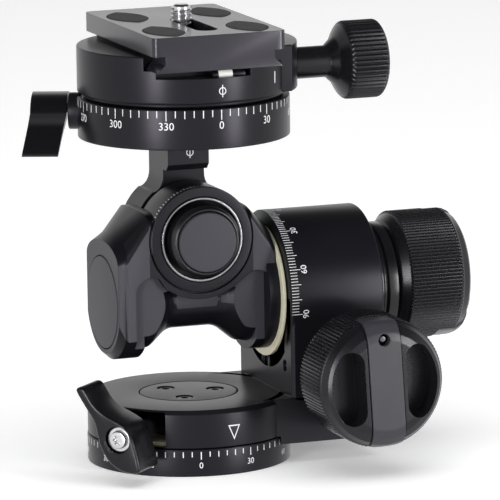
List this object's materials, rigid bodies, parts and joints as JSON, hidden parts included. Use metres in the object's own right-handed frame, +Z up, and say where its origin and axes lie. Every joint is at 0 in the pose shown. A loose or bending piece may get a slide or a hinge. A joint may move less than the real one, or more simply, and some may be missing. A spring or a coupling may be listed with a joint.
{
  "type": "geared tripod head",
  "caption": "Geared tripod head with a panning base, two worm-driven tilts with ribbed knobs, a panning top and a dovetail plate clamp.",
  "frame": {"origin": "middle of the object's box, on the surface that the base stands on", "axes": "+X along the barrel to the right knob, +Y away from the front, +Z up"},
  "size_m": [0.1336, 0.0878, 0.1347],
  "materials": {
    "black_anodised": "satin black anodised",
    "dark_grey_anodised": "matte dark grey anodised",
    "light_grey_anodised": "satin light grey, as it shows in the light",
    "bright_steel": "bright turned steel",
    "brass": "machined brass",
    "bearing_bronze": "turned bronze",
    "cream_plastic": "matte low-friction plastic",
    "black_rubber": "matte with a fine weave",
    "white_vial": "glossy white vial"
  },
  "bodies": {
    "base": {"base_scale_ring": "black_anodised", "tripod_bush": "brass", "pan_spindle": "bright_steel", "pan_retaining_cap": "black_anodised", "cap_screw_1": "bright_steel", "cap_screw_2": "bright_steel", "cap_screw_3": "bright_steel", "pan_friction_washer": "cream_plastic"},
    "pan_bracket": {"pan_bracket": "black_anodised", "x_worm_front_bush": "bearing_bronze", "x_worm_rear_bush": "bearing_bronze", "arm_grub_screw": "bright_steel", "main_spindle_bush": "bearing_bronze", "slip_ring": "cream_plastic", "pan_brake_shoe": "bearing_bronze"},
    "pan_lock": {"pan_lock_lever": "black_anodised", "pan_lock_stud": "bright_steel", "pan_lock_washer": "bright_steel", "pan_lock_screw": "bright_steel"},
    "cradle": {"tilt_cradle": "dark_grey_anodised", "left_end_cap": "dark_grey_anodised", "hub_ring": "bright_steel", "hub_boss": "black_anodised", "hub_cap": "dark_grey_anodised", "rear_cover": "dark_grey_anodised", "y_pivot_pin": "bright_steel", "y_worm_left_bush": "bearing_bronze", "y_worm_right_bush": "bearing_bronze", "main_spindle": "bright_steel", "x_worm_wheel": "brass", "spindle_end_collar": "black_anodised"},
    "x_drive": {"x_worm_shaft": "bright_steel", "x_knob_grip": "black_anodised", "x_knob_bar": "dark_grey_anodised", "x_knob_screw": "bright_steel"},
    "y_drive": {"y_worm_shaft": "bright_steel", "y_knob_grip": "black_anodised", "y_knob_bar": "dark_grey_anodised", "y_knob_screw": "bright_steel"},
    "stem": {"stem": "black_anodised", "y_worm_wheel": "brass", "top_scale_ring": "black_anodised", "top_brake_shoe": "bearing_bronze"},
    "top_lock": {"top_lock_lever": "black_anodised", "top_lock_stud": "bright_steel", "top_lock_screw": "bright_steel"},
    "clamp": {"clamp_body": "black_anodised", "top_pan_spindle": "bright_steel", "bubble_level": "white_vial"},
    "jaw": {"clamp_jaw": "black_anodised"},
    "clamp_drive": {"clamp_screw": "bright_steel", "clamp_knob": "black_anodised"},
    "plate": {"camera_plate": "light_grey_anodised", "camera_pad_1": "black_rubber", "camera_pad_2": "black_rubber", "camera_pad_3": "black_rubber", "camera_pad_4": "black_rubber"},
    "camera_screw": {"camera_screw": "bright_steel"}
  },
  "joints": [
    {"name": "base_pan", "type": "hinge", "parent": "base", "child": "pan_bracket", "pos_m": [-0.01838, 0.01275, 0.0084], "axis": [0, 0, 1], "continuous": true},
    {"name": "pan_lock_turn", "type": "hinge", "parent": "pan_bracket", "child": "pan_lock", "pos_m": [-0.01838, 0.01275, 0.014], "axis": [-0.7071, -0.7071, 0], "range_deg": [-20, 40]},
    {"name": "x_tilt", "type": "hinge", "parent": "pan_bracket", "child": "cradle", "pos_m": [-0.01838, 0.01275, 0.0482], "axis": [1, 0, 0], "range_deg": [-30, 60]},
    {"name": "x_knob_spin", "type": "hinge", "parent": "pan_bracket", "child": "x_drive", "pos_m": [0.02272, 0.01275, 0.0281], "axis": [0, 1, 0], "range_deg": [-2401, 1201]},
    {"name": "y_tilt", "type": "hinge", "parent": "cradle", "child": "stem", "pos_m": [-0.01838, 0.01275, 0.0672], "axis": [0, 1, 0], "range_deg": [-25, 25]},
    {"name": "y_knob_spin", "type": "hinge", "parent": "cradle", "child": "y_drive", "pos_m": [-0.01838, 0.01275, 0.0494], "axis": [1, 0, 0], "range_deg": [-901, 901]},
    {"name": "top_pan", "type": "hinge", "parent": "stem", "child": "clamp", "pos_m": [-0.01838, 0.01275, 0.1084], "axis": [0, 0, 1], "continuous": true},
    {"name": "top_lock_turn", "type": "hinge", "parent": "stem", "child": "top_lock", "pos_m": [-0.01838, 0.01275, 0.1034], "axis": [-0.9205, 0.3907, 0], "range_deg": [-30, 30]},
    {"name": "jaw_slide", "type": "slide", "parent": "clamp", "child": "jaw", "axis": [1, 0, 0], "range_m": [0, 0.006]},
    {"name": "clamp_knob_turn", "type": "hinge", "parent": "jaw", "child": "clamp_drive", "pos_m": [0.01502, 0.01275, 0.115], "axis": [1, 0, 0], "range_deg": [0, 2161]},
    {"name": "plate_slide", "type": "slide", "parent": "clamp", "child": "plate", "axis": [0, 1, 0], "range_m": [-0.015, 0.015]},
    {"name": "camera_screw_turn", "type": "hinge", "parent": "plate", "child": "camera_screw", "pos_m": [-0.01838, 0.01335, 0.13], "axis": [0, 0, 1], "continuous": true}
  ],
  "couplings": [
    {"joint": "x_knob_spin", "follows": "x_tilt", "ratio": -40},
    {"joint": "y_knob_spin", "follows": "y_tilt", "ratio": 36},
    {"joint": "clamp_knob_turn", "follows": "jaw_slide", "rad_per_m": 6283.2}
  ]
}
